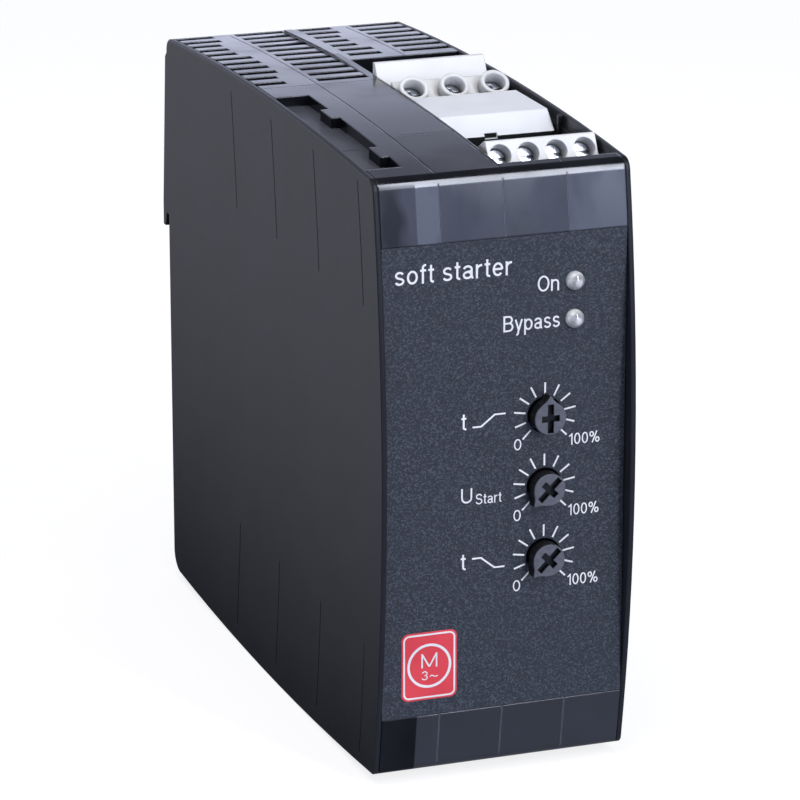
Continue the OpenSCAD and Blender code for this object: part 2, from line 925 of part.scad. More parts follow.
// Power semiconductor in a flat moulded package with three leads
module thyristor(z) {
    h = module_size[1] / 2;
    x1 = module_x + module_size[0];
    color([0.1, 0.1, 0.11])
        difference() {
            union() {
                slab([module_x, x1], [sink_front - module_t, sink_front], [z - h, z + h]);
                for (k = [-1:1])
                    slab([x1 - blend, board_x - board_t],
                        [sink_front - lead_back, sink_front - lead_back + lead_t],
                        [z + lead_pitch * k - lead_w / 2, z + lead_pitch * k + lead_w / 2]);
            }
            rod(screw_x, z + screw_up, [sink_front - module_t - past, sink_front + past], module_hole_d);
        }
}

module thyristor_upper() { thyristor(z_mid + module_z); }
module thyristor_lower() { thyristor(z_mid - module_z); }

module thyristor_screws() {
    head_t = 2;
    face = sink_front - module_t;
    color(steel)
        for (z = [z_mid - module_z, z_mid + module_z])
            difference() {
                union() {
                    rod(screw_x, z + screw_up, [face - head_t, face], module_head_d);
                    rod(screw_x, z + screw_up, [face - blend, sink_front + sink_base - 1], module_screw_d);
                }
                slab([module_x, 0], [face - head_t - past, face - head_t / 2],
                    [z + screw_up - slot_w, z + screw_up + slot_w]);
            }
}

// Frame of a screw: origin on its terminal's sloping face, +Z out of the face
module on_power_face(x) {
    translate([x, y_front + collar_top[0] - collar_centre * cos(collar_slope),
        collar_top[1] - collar_centre * sin(collar_slope)])
        rotate([collar_slope, 0, 0])
            children();
}

module on_control_face(x) {
    translate([x, y_front + control_ridge - control_centre * cos(control_slope),
        z_high - control_drop - control_centre * sin(control_slope)])
        rotate([control_slope, 0, 0])
            children();
}

// Three-pole block: sloping screw face, wire channel and a hood behind it
module power_block() {
    fall = function(d) collar_top[1] - (collar_top[0] - d) * tan(collar_slope);
    ridge_z = z_high + power_rise;
    floor_z = z_high - channel_floor;
    color(white)
        difference() {
            union() {
                yz(board_x, block_w)
                    polygon([
                        [power_front, z_high - power_depth],
                        [power_front, fall(power_front)],
                        collar_top,
                        [collar_top[0] + 0.6, collar_top[1]],
                        [hood_foot - channel_w, floor_z],
                        [hood_foot, floor_z],
                        [hood_foot, floor_z + hood_low],
                        [power_ridge, ridge_z],
                        [power_back, ridge_z],
                        [power_back, z_high - power_depth]
                    ]);
                for (x = power_x)
                    on_power_face(x) translate([0, 0, -1]) cylinder(d = collar_d, h = collar_rise + 1);
            }
            for (x = power_x)
                on_power_face(x) {
                    translate([0, 0, -power_seat])
                        cylinder(d = power_well_d, h = power_seat + collar_rise + past);
                    translate([0, 0, -power_shank_end - past])
                        cylinder(d = power_shank_d + 2 * shank_clear, h = power_shank_end + past);
                }
        }
}

// Clamping plates at the foot of the wire channel
module power_clamps() {
    floor_z = z_high - channel_floor;
    w = pole_margin / 2 - clamp_side;
    color(steel)
        for (x = power_x)
            difference() {
                slab([x - w, x + w], [hood_foot - channel_w + 0.2, hood_foot - 0.1],
                    [floor_z, floor_z + clamp_t]);
                for (g = [-0.55:0.37:0.56])
                    slab([x + g * w - serration_w, x + g * w + serration_w],
                        [hood_foot - 2 * channel_w, hood_foot + past],
                        [floor_z + clamp_t - serration_h, floor_z + 2 * clamp_t]);
            }
}

// Four-pole block: steep screw face in front, wire entries behind the ridge
module control_block() {
    ridge_z = z_high - control_drop;
    front_z = ridge_z - (control_ridge - control_front) * tan(control_slope);
    color(white)
        difference() {
            yz(board_x, block_w)
                polygon([
                    [control_front, z_high - control_depth],
                    [control_front, front_z],
                    [control_ridge, ridge_z],
                    [control_ridge + 0.6, ridge_z],
                    [control_back, ridge_z - 3.8],
                    [control_back, z_high - control_depth]
                ]);
            for (x = control_x) {
                on_control_face(x) {
                    translate([0, 0, -control_seat]) cylinder(d = control_well_d, h = control_seat + past);
                    translate([0, 0, -control_shank_end - past])
                        cylinder(d = control_shank_d + 2 * shank_clear, h = control_shank_end + past);
                }
                slab([x - entry_w / 2, x + entry_w / 2], entry_d, [z_high - entry_floor, z_high + past]);
            }
            slab([board_x - past, control_left], [control_front - past, control_back + past],
                [partition_low, z_high + past]);
        }
}

module control_clamps() {
    floor_z = z_high - entry_floor;
    w = entry_w / 2 - 0.1;
    color(steel)
        for (x = control_x)
            difference() {
                slab([x - w, x + w], [entry_d[0] + 0.1, entry_d[1] - 0.1], [floor_z, floor_z + clamp_t]);
                for (g = [-0.6, 0, 0.6])
                    slab([x + g * w - serration_w, x + g * w + serration_w], entry_d,
                        [floor_z + clamp_t - serration_h, floor_z + 2 * clamp_t]);
            }
}

// Pale cover between the two blocks, level with the case top
module terminal_cover() {
    top_z = z_high - cover_drop;
    foot_z = z_high - cover_depth;
    finger = [term_mid - 3.2, term_mid - 0.9];
    color(pale_grey)
        difference() {
            yz(board_x, block_w - cover_side)
                polygon([
                    [cover_front, foot_z],
                    [cover_front, top_z - cover_fall],
                    [cover_break, top_z],
                    [cover_back, top_z],
                    [cover_back, foot_z]
                ]);
            slab(finger, [cover_front - past, cover_front + 0.8],
                [top_z - cover_fall - 0.5, top_z - cover_fall + 0.4]);
        }
}

// Slotted screw, +Z out of the terminal
module screw(head_d, head_t, seat, shank_d, shank_end, cross) {
    head_low = -seat + seat_clear;
    color(steel)
        difference() {
            union() {
                translate([0, 0, head_low]) cylinder(d = head_d, h = head_t);
                translate([0, 0, -shank_end]) cylinder(d = shank_d, h = shank_end + head_low + blend);
            }
            translate([-head_d, -slot_w / 2, head_low + head_t / 2]) cube([2 * head_d, slot_w, head_t]);
            if (cross)
                translate([-slot_w / 2, -head_d / 3, head_low + head_t / 2])
                    cube([slot_w, 2 * head_d / 3, head_t]);
        }
}

module power_screw(k) {
    on_power_face(power_x[k])
        screw(power_head_d, power_head_t, power_seat, power_shank_d, power_shank_end, true);
}

module control_screw(k) {
    on_control_face(control_x[k])
        screw(control_head_d, control_head_t, control_seat, control_shank_d, control_shank_end, false);
}

module rail_latch() {
    w = latch_w / 2;
    neck = latch_neck / 2;
    claw_low = latch_top - 3;
    neck_front = latch_front + flange_t;
    color([0.2, 0.2, 0.22])
        difference() {
            union() {
                slab([-w, w], [latch_front, neck_front], [latch_bottom, latch_top]);
                slab([-neck, neck], [neck_front - blend, case_d - 0.1], [latch_bottom, latch_top]);
                slab([-neck, neck], [case_d - 0.5, lip_back + 1.2], [claw_low, latch_top]);
                slab([-neck, neck], [lip_back, lip_back + 1.2], [claw_low, rail_low + claw_rise]);
            }
            slab([-window_w / 2, window_w / 2], [latch_front - past, case_d + past], latch_window);
            slab([-2.5, 2.5], [latch_front + 0.6, case_d - 0.8], [latch_bottom - past, latch_bottom + 3]);
        }
}

// Round wire swept along a helix
module latch_spring() {
    low_z = latch_window[0] + rail_clear + ledge_t + wire_d / 2 + 0.05;
    high_z = latch_window[1] - wire_d / 2 - 0.05;
    per_turn = 14;
    sides = 6;
    rings = spring_turns * per_turn;
    r = (spring_d - wire_d) / 2;
    point = function(k, s)
        let (a = 360 * k / per_turn, b = 360 * s / sides, reach = r + wire_d / 2 * cos(b))
        [reach * cos(a), reach * sin(a), low_z + (high_z - low_z) * k / rings + wire_d / 2 * sin(b)];
    points = [for (k = [0:rings], s = [0:sides - 1]) point(k, s)];
    skin = [for (k = [0:rings - 1], s = [0:sides - 1])
        let (t = (s + 1) % sides, a = k * sides, b = a + sides)
        each [[a + s, b + s, b + t], [a + s, b + t, a + t]]];
    start = [for (s = [0:sides - 1]) s];
    end = [for (s = [sides - 1:-1:0]) rings * sides + s];
    color(steel)
        translate([0, y_front + (latch_front + case_d - 0.4) / 2, 0])
            polyhedron(points, concat(skin, [start, end]));
}

centre_frame();
left_side_plate();
right_side_plate();
front_panel();
lamp_on();
lamp_bypass();
knob_ramp_up();
knob_start_voltage();
knob_ramp_down();
potentiometer_ramp_up();
potentiometer_start_voltage();
potentiometer_ramp_down();
control_board();
microcontroller();
board_connector();
power_board();
bypass_relay_upper();
bypass_relay_lower();
smoothing_capacitors();
heat_sink();
thyristor_upper();
thyristor_lower();
thyristor_screws();
power_block();  // power_block_top
power_clamps();  // power_clamps_top
control_block();  // control_block_top
control_clamps();  // control_clamps_top
terminal_cover();  // terminal_cover_top
low_terminal() power_block();  // power_block_bottom
low_terminal() power_clamps();  // power_clamps_bottom
low_terminal() control_block();  // control_block_bottom
low_terminal() control_clamps();  // control_clamps_bottom
low_terminal() terminal_cover();  // terminal_cover_bottom
for (k = [0:2]) {
    power_screw(k);
    low_terminal() power_screw(k);
}
for (k = [0:3]) {
    control_screw(k);
    low_terminal() control_screw(k);
}
rail_latch();
latch_spring();
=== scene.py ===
"""Looks of the soft starter: materials, print, badge, knob heads, screws, spring and studio."""

import json
import math

import bmesh
import bpy
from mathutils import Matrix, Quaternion, Vector


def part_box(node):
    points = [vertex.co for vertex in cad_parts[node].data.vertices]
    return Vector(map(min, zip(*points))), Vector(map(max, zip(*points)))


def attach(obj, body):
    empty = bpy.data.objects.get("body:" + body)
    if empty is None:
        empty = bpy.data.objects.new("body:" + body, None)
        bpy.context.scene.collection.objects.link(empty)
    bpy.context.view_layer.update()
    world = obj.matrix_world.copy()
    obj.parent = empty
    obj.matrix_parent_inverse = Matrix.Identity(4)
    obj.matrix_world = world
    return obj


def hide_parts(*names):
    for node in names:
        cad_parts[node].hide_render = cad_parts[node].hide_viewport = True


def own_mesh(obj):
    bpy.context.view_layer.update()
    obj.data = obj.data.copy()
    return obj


MM = 0.001

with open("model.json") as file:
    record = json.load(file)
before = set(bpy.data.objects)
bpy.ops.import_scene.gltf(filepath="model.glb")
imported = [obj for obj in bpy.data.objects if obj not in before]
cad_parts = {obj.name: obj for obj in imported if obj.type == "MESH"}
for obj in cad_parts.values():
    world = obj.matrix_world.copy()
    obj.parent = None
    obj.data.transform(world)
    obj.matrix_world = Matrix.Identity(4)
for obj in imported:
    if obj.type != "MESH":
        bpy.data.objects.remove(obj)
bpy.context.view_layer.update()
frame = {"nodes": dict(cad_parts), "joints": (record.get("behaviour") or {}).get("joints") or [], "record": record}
nodes = frame["nodes"]
joints = {joint["name"]: joint for joint in frame["joints"]}


# Node helpers


def add(tree, kind, **sockets):
    """A shader node with some of its input sockets set by name."""
    node = tree.nodes.new(kind)
    for name, value in sockets.items():
        node.inputs[name.replace("_", " ")].default_value = value
    return node


def coords(tree, kind):
    """A kind of texture coordinates."""
    return tree.nodes.new("ShaderNodeTexCoord").outputs[kind]


def axes_of(tree, vector):
    """The X, Y and Z of a vector."""
    node = tree.nodes.new("ShaderNodeSeparateXYZ")
    tree.links.new(vector, node.inputs["Vector"])
    return node.outputs


def normal_axes(tree, kind):
    """The X, Y and Z of the surface's smooth or true normal."""
    return axes_of(tree, tree.nodes.new("ShaderNodeNewGeometry").outputs[kind])


def ramp(tree, source, stops):
    """A colour ramp over a value; stops are (position, colour)."""
    node = tree.nodes.new("ShaderNodeValToRGB")
    elements = node.color_ramp.elements
    while len(elements) < len(stops):
        elements.new(0.5)
    for element, (position, colour) in zip(elements, stops):
        element.position = position
        element.color = (*colour, 1)
    tree.links.new(source, node.inputs["Fac"])
    return node.outputs["Color"]


def spread(tree, source, span, onto):
    """A value mapped from one range onto another, and held at its ends."""
    node = add(tree, "ShaderNodeMapRange", From_Min=span[0], From_Max=span[1],
               To_Min=onto[0], To_Max=onto[1])
    tree.links.new(source, node.inputs["Value"])
    return node.outputs["Result"]


def maths(tree, operation, *sources):
    """One value from others, by a maths operation."""
    node = tree.nodes.new("ShaderNodeMath")
    node.operation = operation
    for source, socket in zip(sources, node.inputs):
        tree.links.new(source, socket)
    return node.outputs["Value"]


def product(tree, mask, *others):
    """Where all of several masks hold."""
    for other in others:
        mask = maths(tree, "MULTIPLY", mask, other)
    return mask


def distance(tree, vector, shift, scale):
    """How far a point lies from a place, along the axes that scale keeps."""
    place = add(tree, "ShaderNodeMapping", Location=shift, Scale=scale)
    length = tree.nodes.new("ShaderNodeVectorMath")
    length.operation = "LENGTH"
    tree.links.new(vector, place.inputs["Vector"])
    tree.links.new(place.outputs["Vector"], length.inputs[0])
    return length.outputs["Value"]


def noise(tree, size, detail=3.0, stretch=(1, 1, 1)):
    """Noise in the object's own coordinates; size is its grain in metres."""
    place = add(tree, "ShaderNodeMapping", Scale=tuple(s / size for s in stretch))
    grain = add(tree, "ShaderNodeTexNoise", Scale=1.0, Detail=detail, Roughness=NOISE_ROUGHNESS)
    tree.links.new(coords(tree, "Object"), place.inputs["Vector"])
    tree.links.new(place.outputs["Vector"], grain.inputs["Vector"])
    return grain.outputs["Fac"]


def recolour(tree, colour, mask=None):
    """Lays a colour over a material's own by a mask, or multiplies the two without one."""
    base = tree.nodes["Principled BSDF"].inputs["Base Color"]
    mix = tree.nodes.new("ShaderNodeMixRGB")
    if mask is None:
        mix.blend_type = "MULTIPLY"
        mix.inputs["Fac"].default_value = 1.0
    else:
        tree.links.new(mask, mix.inputs["Fac"])
    if isinstance(colour, tuple):
        mix.inputs["Color2"].default_value = (*colour, 1)
    else:
        tree.links.new(colour, mix.inputs["Color2"])
    tree.links.new(base.links[0].from_socket, mix.inputs["Color1"])
    tree.links.new(mix.outputs["Color"], base)


def scaled(colour, share):
    """A colour made darker or paler by a share."""
    return [share * channel for channel in colour]


# Finishes, with painted shade, painted highlights and painted reflections

NOISE_ROUGHNESS = 0.55
CLOUD_RANGE = (0.35, 0.65)
RELIEF = 0.05 * MM
SMEAR = 11 * MM
SMEAR_STRETCH = (1, 1, 0.5)
SMEAR_RANGE = (0.4, 0.7)

# Upper arc of the case and the marker pocket in its top
TOP_R = 801.89 * MM
TOP_CENTRE = (0.6 * MM, -694.89 * MM)
POCKET_X = -15.3 * MM
POCKET_Y = -2.5 * MM
POCKET_SHINE = 0.06

# Front bands: width of a column between mould lines, depth they lie before, height between them
COLUMN_W = 11.25 * MM
FRONT_Y = -56.0 * MM
UPPER_BAND = 50 * MM

# Middle of a lamp lens, as shares of its box
LENS_MIDDLE = (0.54, 0.46)


def surface(name, dark, light, rough, grain=0.4 * MM, bump=0.1, cloud=9 * MM, edge=0.15 * MM,
            metallic=0.0, specular=0.5, coat=0.0, stretch=(1, 1, 1), smears=False):
    """Clouded colour, fine grain in the bump, uneven or smeared gloss and softened edges."""
    material = bpy.data.materials.new(name)
    material.use_nodes = True
    tree = material.node_tree
    shader = tree.nodes["Principled BSDF"]
    shader.inputs["Metallic"].default_value = metallic
    shader.inputs["Specular IOR Level"].default_value = specular
    shader.inputs["Coat Weight"].default_value = coat
    fine = noise(tree, grain, 4.0, stretch)
    wide = noise(tree, cloud, 2.0, stretch)
    tint = ramp(tree, wide, list(zip(CLOUD_RANGE, (dark, light))))
    if smears:
        gloss = spread(tree, noise(tree, SMEAR, 2.0, SMEAR_STRETCH), SMEAR_RANGE, rough)
    else:
        gloss = spread(tree, fine, (0, 1), rough)
    round_edge = add(tree, "ShaderNodeBevel", Radius=edge)
    round_edge.samples = 4
    relief = add(tree, "ShaderNodeBump", Strength=bump, Distance=RELIEF)
    tree.links.new(fine, relief.inputs["Height"])
    tree.links.new(round_edge.outputs["Normal"], relief.inputs["Normal"])
    tree.links.new(tint, shader.inputs["Base Color"])
    tree.links.new(gloss, shader.inputs["Roughness"])
    tree.links.new(relief.outputs["Normal"], shader.inputs["Normal"])
    return material


def speckled(name, low, middle, high, rough, grain):
    """Printed foil: fine dark and pale specks, stronger in some patches than in others."""
    material = surface(name, scaled(middle, 0.85), middle, rough, grain=grain, bump=0.35,
                       cloud=14 * MM, edge=0.1 * MM, specular=0.4)
    tree = material.node_tree
    cells = add(tree, "ShaderNodeTexVoronoi", Scale=1 / grain)
    channels = tree.nodes.new("ShaderNodeSeparateColor")
    tree.links.new(coords(tree, "Object"), cells.inputs["Vector"])
    tree.links.new(cells.outputs["Color"], channels.inputs["Color"])
    specks = ramp(tree, channels.outputs["Red"], [(0.0, low), (0.6, middle), (1.0, high)])
    patches = spread(tree, noise(tree, 9 * MM, 2.0), (0.3, 0.7), (0.75, 1))
    recolour(tree, specks, patches)
    return material


def masked(name, front, rest, depth):
    """Dark plastic whose foremost faces, within a share of its depth, have their own colour."""
    material = surface(name, rest, scaled(rest, 1.4), (0.45, 0.55), bump=0.05, edge=0.12 * MM,
                       specular=0.25)
    tree = material.node_tree
    mottled = ramp(tree, noise(tree, 0.9 * MM), [(0.3, scaled(front, 0.8)), (0.7, scaled(front, 1.2))])
    inward = axes_of(tree, coords(tree, "Generated"))["Y"]
    recolour(tree, mottled, spread(tree, inward, (depth, 1.5 * depth), (1, 0)))
    return material


def painted_rings_lens(name, stops):
    """Clear lens drawn as an opaque coated surface with painted rings: the pale rim and centre are painted
    reflections and the dark ring stands for its inside; stops are (share of its width, colour).
    """
    material = surface(name, (0.7, 0.7, 0.7), (1, 1, 1), (0.05, 0.1), grain=0.8 * MM, bump=0.02,
                       cloud=0.8 * MM, coat=1.0)
    tree = material.node_tree
    shift = (-LENS_MIDDLE[0], 0, -LENS_MIDDLE[1])
    reach = distance(tree, coords(tree, "Generated"), shift, (1, 0, 1))
    recolour(tree, ramp(tree, reach, stops))
    return material


def pocket_painted_floor(material, colour, rough):
    """Gives the marker pocket in the case's top a matt floor whose paler colour is a painted reflection of the
    bright backdrop, and dull walls.
    """
    tree = material.node_tree
    shader = tree.nodes["Principled BSDF"]
    place = coords(tree, "Object")
    axes = axes_of(tree, place)
    facing = normal_axes(tree, "Normal")
    reach = distance(tree, place, (0, -TOP_CENTRE[0], -TOP_CENTRE[1]), (0, 1, 1))
    aside = spread(tree, axes["X"], (POCKET_X - 0.1 * MM, POCKET_X + 0.1 * MM), (1, 0))
    level = spread(tree, facing["Z"], (0.85, 0.95), (0, 1))
    sunk = spread(tree, reach, (TOP_R - 1.6 * MM, TOP_R - 1.2 * MM), (1, 0))
    bottom = product(tree, level, sunk, aside)
    upright = spread(tree, facing["Z"], (0.3, 0.6), (1, 0))
    below = spread(tree, reach, (TOP_R - 0.3 * MM, TOP_R - 0.1 * MM), (1, 0))
    within = spread(tree, axes["Y"], (POCKET_Y + 0.2 * MM, POCKET_Y), (0, 1))
    wall = product(tree, upright, below, aside, within)
    shine = shader.inputs["Specular IOR Level"]
    tree.links.new(spread(tree, wall, (0, 1), (shine.default_value, POCKET_SHINE)), shine)
    # Painted reflection: the floor's paler, mottled colour stands in for the bright backdrop that the floor
    # mirrors.
    mottled = ramp(tree, noise(tree, 1.5 * MM),
                [(0.3, scaled(colour, 0.85)), (0.7, scaled(colour, 1.15))])
    recolour(tree, mottled, bottom)
    gloss = add(tree, "ShaderNodeMix", B=rough)
    tree.links.new(bottom, gloss.inputs["Factor"])
    tree.links.new(shader.inputs["Roughness"].links[0].from_socket, gloss.inputs["A"])
    tree.links.new(gloss.outputs["Result"], shader.inputs["Roughness"])


def shaded_wells(material, reach, depth):
    """Shades what lies deep in wells and narrow corners; depth is the share of colour left."""
    tree = material.node_tree
    hollow = add(tree, "ShaderNodeAmbientOcclusion", Distance=reach)
    hollow.samples = 8
    recolour(tree, spread(tree, hollow.outputs["AO"], (0.1, 0.6), (depth, 1)))


def shade_painted_faces(material, axis, span, share, gloss):
    """Paints shade on faces by their normal along an axis: dims colour and shine most at the span's start, not at
    its end.
    """
    tree = material.node_tree
    shine = tree.nodes["Principled BSDF"].inputs["Specular IOR Level"]
    turned = maths(tree, "ABSOLUTE", normal_axes(tree, "True Normal")[axis])
    recolour(tree, spread(tree, turned, span, (share, 1)))
    tree.links.new(spread(tree, turned, span, (gloss, shine.default_value)), shine)


def front_painted_reflections(material, painted_reflection, line):
    """Gives the front bands a painted reflection in smudged patches, most on the outer columns, and mould lines
    painted pale as a painted highlight.
    """
    tree = material.node_tree
    axes = axes_of(tree, coords(tree, "Object"))
    aside = maths(tree, "ABSOLUTE", axes["X"])
    before = spread(tree, axes["Y"], (FRONT_Y - 0.2 * MM, FRONT_Y), (1, 0))
    column = spread(tree, aside, (COLUMN_W - 0.1 * MM, COLUMN_W), (0.25, 1))
    upper = spread(tree, axes["Z"], (UPPER_BAND, UPPER_BAND + MM), (0.06, 1))
    # Painted reflection: a pale blue tint, strongest on the upper band's outer columns and in patches, stands in
    # for the smudged reflections of the front.
    reflection_patches = spread(tree, noise(tree, 7 * MM, 2.0, (1, 1, 0.45)), (0.36, 0.66), (0.35, 1.2))
    recolour(tree, painted_reflection, product(tree, before, column, upper, reflection_patches))
    # Painted highlight: the mould-line grooves get a pale colour for the light they catch.
    wave = maths(tree, "PINGPONG", aside)
    wave.node.inputs[1].default_value = COLUMN_W / 2
    groove = spread(tree, wave, (0.1 * MM, 0.14 * MM), (1, 0))
    recolour(tree, line, product(tree, groove, before))


# Materials by the record's slots

case_dark = surface("case_plastic", (0.003, 0.0033, 0.005), (0.006, 0.0066, 0.0095), (0.09, 0.24),
                    grain=0.5 * MM, bump=0.015, edge=0.3 * MM, smears=True)
# The pocket floor's paler colour is a painted reflection.
pocket_painted_floor(case_dark, (0.055, 0.058, 0.073), 0.42)
# Painted reflection on the front bands and painted highlight on their mould lines.
front_painted_reflections(case_dark, painted_reflection=(0.06, 0.067, 0.088), line=(0.1, 0.108, 0.13))
plate_dark = surface("plate_plastic", (0.0105, 0.011, 0.0145), (0.0145, 0.015, 0.02), (0.32, 0.44),
                     grain=0.35 * MM, bump=0.06, edge=0.5 * MM)
# Painted shade: the side plates' edges and other faces not turned sideways are dimmed in colour and shine.
shade_painted_faces(plate_dark, "X", (0.3, 0.8), share=0.6, gloss=0.2)
panel_foil = speckled("panel_plastic", (0.003, 0.005, 0.008), (0.0125, 0.017, 0.0255),
                      (0.058, 0.068, 0.086), (0.5, 0.65), grain=0.23 * MM)
# Painted reflections: the pale stops at the lens's rim and centre; the dark stops stand for its inside.
lens = painted_rings_lens("lamp_lens", [(0.0, (0.74, 0.75, 0.75)), (0.1, (0.65, 0.66, 0.67)),
                            (0.2, (0.3, 0.31, 0.32)), (0.3, (0.36, 0.37, 0.38)),
                            (0.4, (0.74, 0.75, 0.75))])
knob_grey = masked("knob_plastic", (0.095, 0.1, 0.122), (0.003, 0.003, 0.004), depth=0.012)
pot_blue = surface("pot_plastic", (0.03, 0.06, 0.16), (0.045, 0.085, 0.2), (0.4, 0.5))
terminal_white = surface("terminal_plastic", (0.605, 0.605, 0.61), (0.66, 0.66, 0.66), (0.38, 0.5),
                         grain=0.5 * MM, bump=0.04, edge=0.2 * MM)
shaded_wells(terminal_white, reach=3.5 * MM, depth=0.4)
cover_grey = surface("cover_plastic", (0.65, 0.665, 0.7), (0.7, 0.715, 0.745), (0.35, 0.48),
                     bump=0.04, edge=0.3 * MM)
# Painted shade: the cover's faces turned to front and back are made nearly black, standing in for the shade of the
# opening under its edge.
shade_painted_faces(cover_grey, "Y", (0.99, 0.96), share=0.015, gloss=0.1)
clamp_metal = surface("clamp_metal", (0.55, 0.53, 0.46), (0.7, 0.68, 0.6), (0.25, 0.42),
                      metallic=1.0, stretch=(1, 6, 1))
screw_steel = surface("screw_steel", (0.5, 0.51, 0.53), (0.72, 0.73, 0.75), (0.2, 0.38),
                      metallic=1.0, cloud=1.2 * MM, stretch=(5, 1, 1))
board_green = surface("board_laminate", (0.012, 0.075, 0.035), (0.02, 0.12, 0.055), (0.28, 0.4),
                      cloud=2.5 * MM)
chip_black = surface("chip_plastic", (0.012, 0.012, 0.013), (0.02, 0.02, 0.021), (0.5, 0.62))
relay_black = surface("relay_plastic", (0.016, 0.017, 0.02), (0.024, 0.026, 0.03), (0.36, 0.48))
capacitor_blue = surface("capacitor_sleeve", (0.014, 0.018, 0.06), (0.022, 0.028, 0.085),
                         (0.2, 0.3))
sink_metal = surface("heat_sink_metal", (0.5, 0.51, 0.52), (0.68, 0.69, 0.7), (0.3, 0.46),
                     metallic=1.0, cloud=2 * MM, stretch=(6, 6, 0.3))
latch_black = surface("latch_plastic", (0.016, 0.016, 0.018), (0.024, 0.024, 0.027), (0.34, 0.46))
spring_wire = surface("spring_steel", (0.5, 0.51, 0.53), (0.68, 0.69, 0.71), (0.2, 0.32),
                      metallic=1.0)
ink_white = surface("legend_ink", (0.7, 0.71, 0.73), (0.8, 0.805, 0.82), (0.5, 0.6),
                    grain=0.2 * MM, bump=0.08, edge=0.02 * MM)
badge_red = surface("badge_red", (0.62, 0.035, 0.05), (0.72, 0.05, 0.065), (0.3, 0.42),
                    grain=0.3 * MM, bump=0.04, edge=0.05 * MM)

SLOT_MATERIALS = {
    "case_plastic": case_dark,
    "panel_plastic": panel_foil,
    "lamp_lens": lens,
    "knob_plastic": knob_grey,
    "pot_plastic": pot_blue,
    "terminal_plastic": terminal_white,
    "cover_plastic": cover_grey,
    "clamp_metal": clamp_metal,
    "screw_steel": screw_steel,
    "board_laminate": board_green,
    "chip_plastic": chip_black,
    "relay_plastic": relay_black,
    "capacitor_sleeve": capacitor_blue,
    "heat_sink_metal": sink_metal,
    "latch_plastic": latch_black,
    "spring_steel": spring_wire,
}
for part in frame["record"]["subparts"]:
    mesh = nodes[part["node"]].data
    mesh.materials.clear()
    mesh.materials.append(SLOT_MATERIALS[part["material_slot"]])
for name in ("left_side_plate", "right_side_plate"):
    nodes[name].data.materials[0] = plate_dark


# Pieces of the scene: outlines are drawn in mm, and corners are made in metres


def put(name, data):
    """A new object in the scene."""
    obj = bpy.data.objects.new(name, data)
    bpy.context.scene.collection.objects.link(obj)
    return obj


def piece(name, bm, material, body, smooth=False):
    """Makes an object from a bmesh, gives it a material and lets it ride on a body."""
    bmesh.ops.recalc_face_normals(bm, faces=bm.faces)
    mesh = bpy.data.meshes.new(name)
    bm.to_mesh(mesh)
    bm.free()
    mesh.materials.append(material)
    mesh.polygons.foreach_set("use_smooth", [smooth] * len(mesh.polygons))
    obj = put(name, mesh)
    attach(obj, body)
    return obj


def arc(x, z, rx, rz, start, end):
    """Points on an ellipse between two angles in degrees, anticlockwise from the right."""
    steps = max(3, round(abs(end - start) / 15))
    angles = [math.radians(start + (end - start) * k / steps) for k in range(steps + 1)]
    return [(x + rx * math.cos(angle), z + rz * math.sin(angle)) for angle in angles]


def oval(x, z, rx, rz):
    """A whole ellipse from its top; the last point repeats the first."""
    return arc(x, z, rx, rz, 90, 450)


def skin(bm, first, second):
    """Joins two loops of corners by a wall."""
    for k in range(len(first)):
        n = (k + 1) % len(first)
        bm.faces.new((first[k], first[n], second[n], second[k]))


def plate(bm, points, back, front):
    """Adds a plate with an outline of (x, z) in mm between two depths."""
    rings = [[bm.verts.new((x * MM, y, z * MM)) for x, z in points] for y in (back, front)]
    for ring in rings:
        bm.faces.new(ring)
    skin(bm, *rings)


# Printed legends on the front panel

PANEL_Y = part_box("front_panel")[0].y
INK_T = 0.03 * MM
STROKE = 0.3
WEIGHT = 0.11
LETTER_GAP = 0.1
LAYER = 0.006 * MM
KNOB_NAMES = ("ramp_up", "start_voltage", "ramp_down")
KNOBS = [joints[f"knob_{name}_turn"]["pos_m"] for name in KNOB_NAMES]
KNOB_X = KNOBS[0][0] / MM
KNOBS_Z = [place[2] / MM for place in KNOBS]

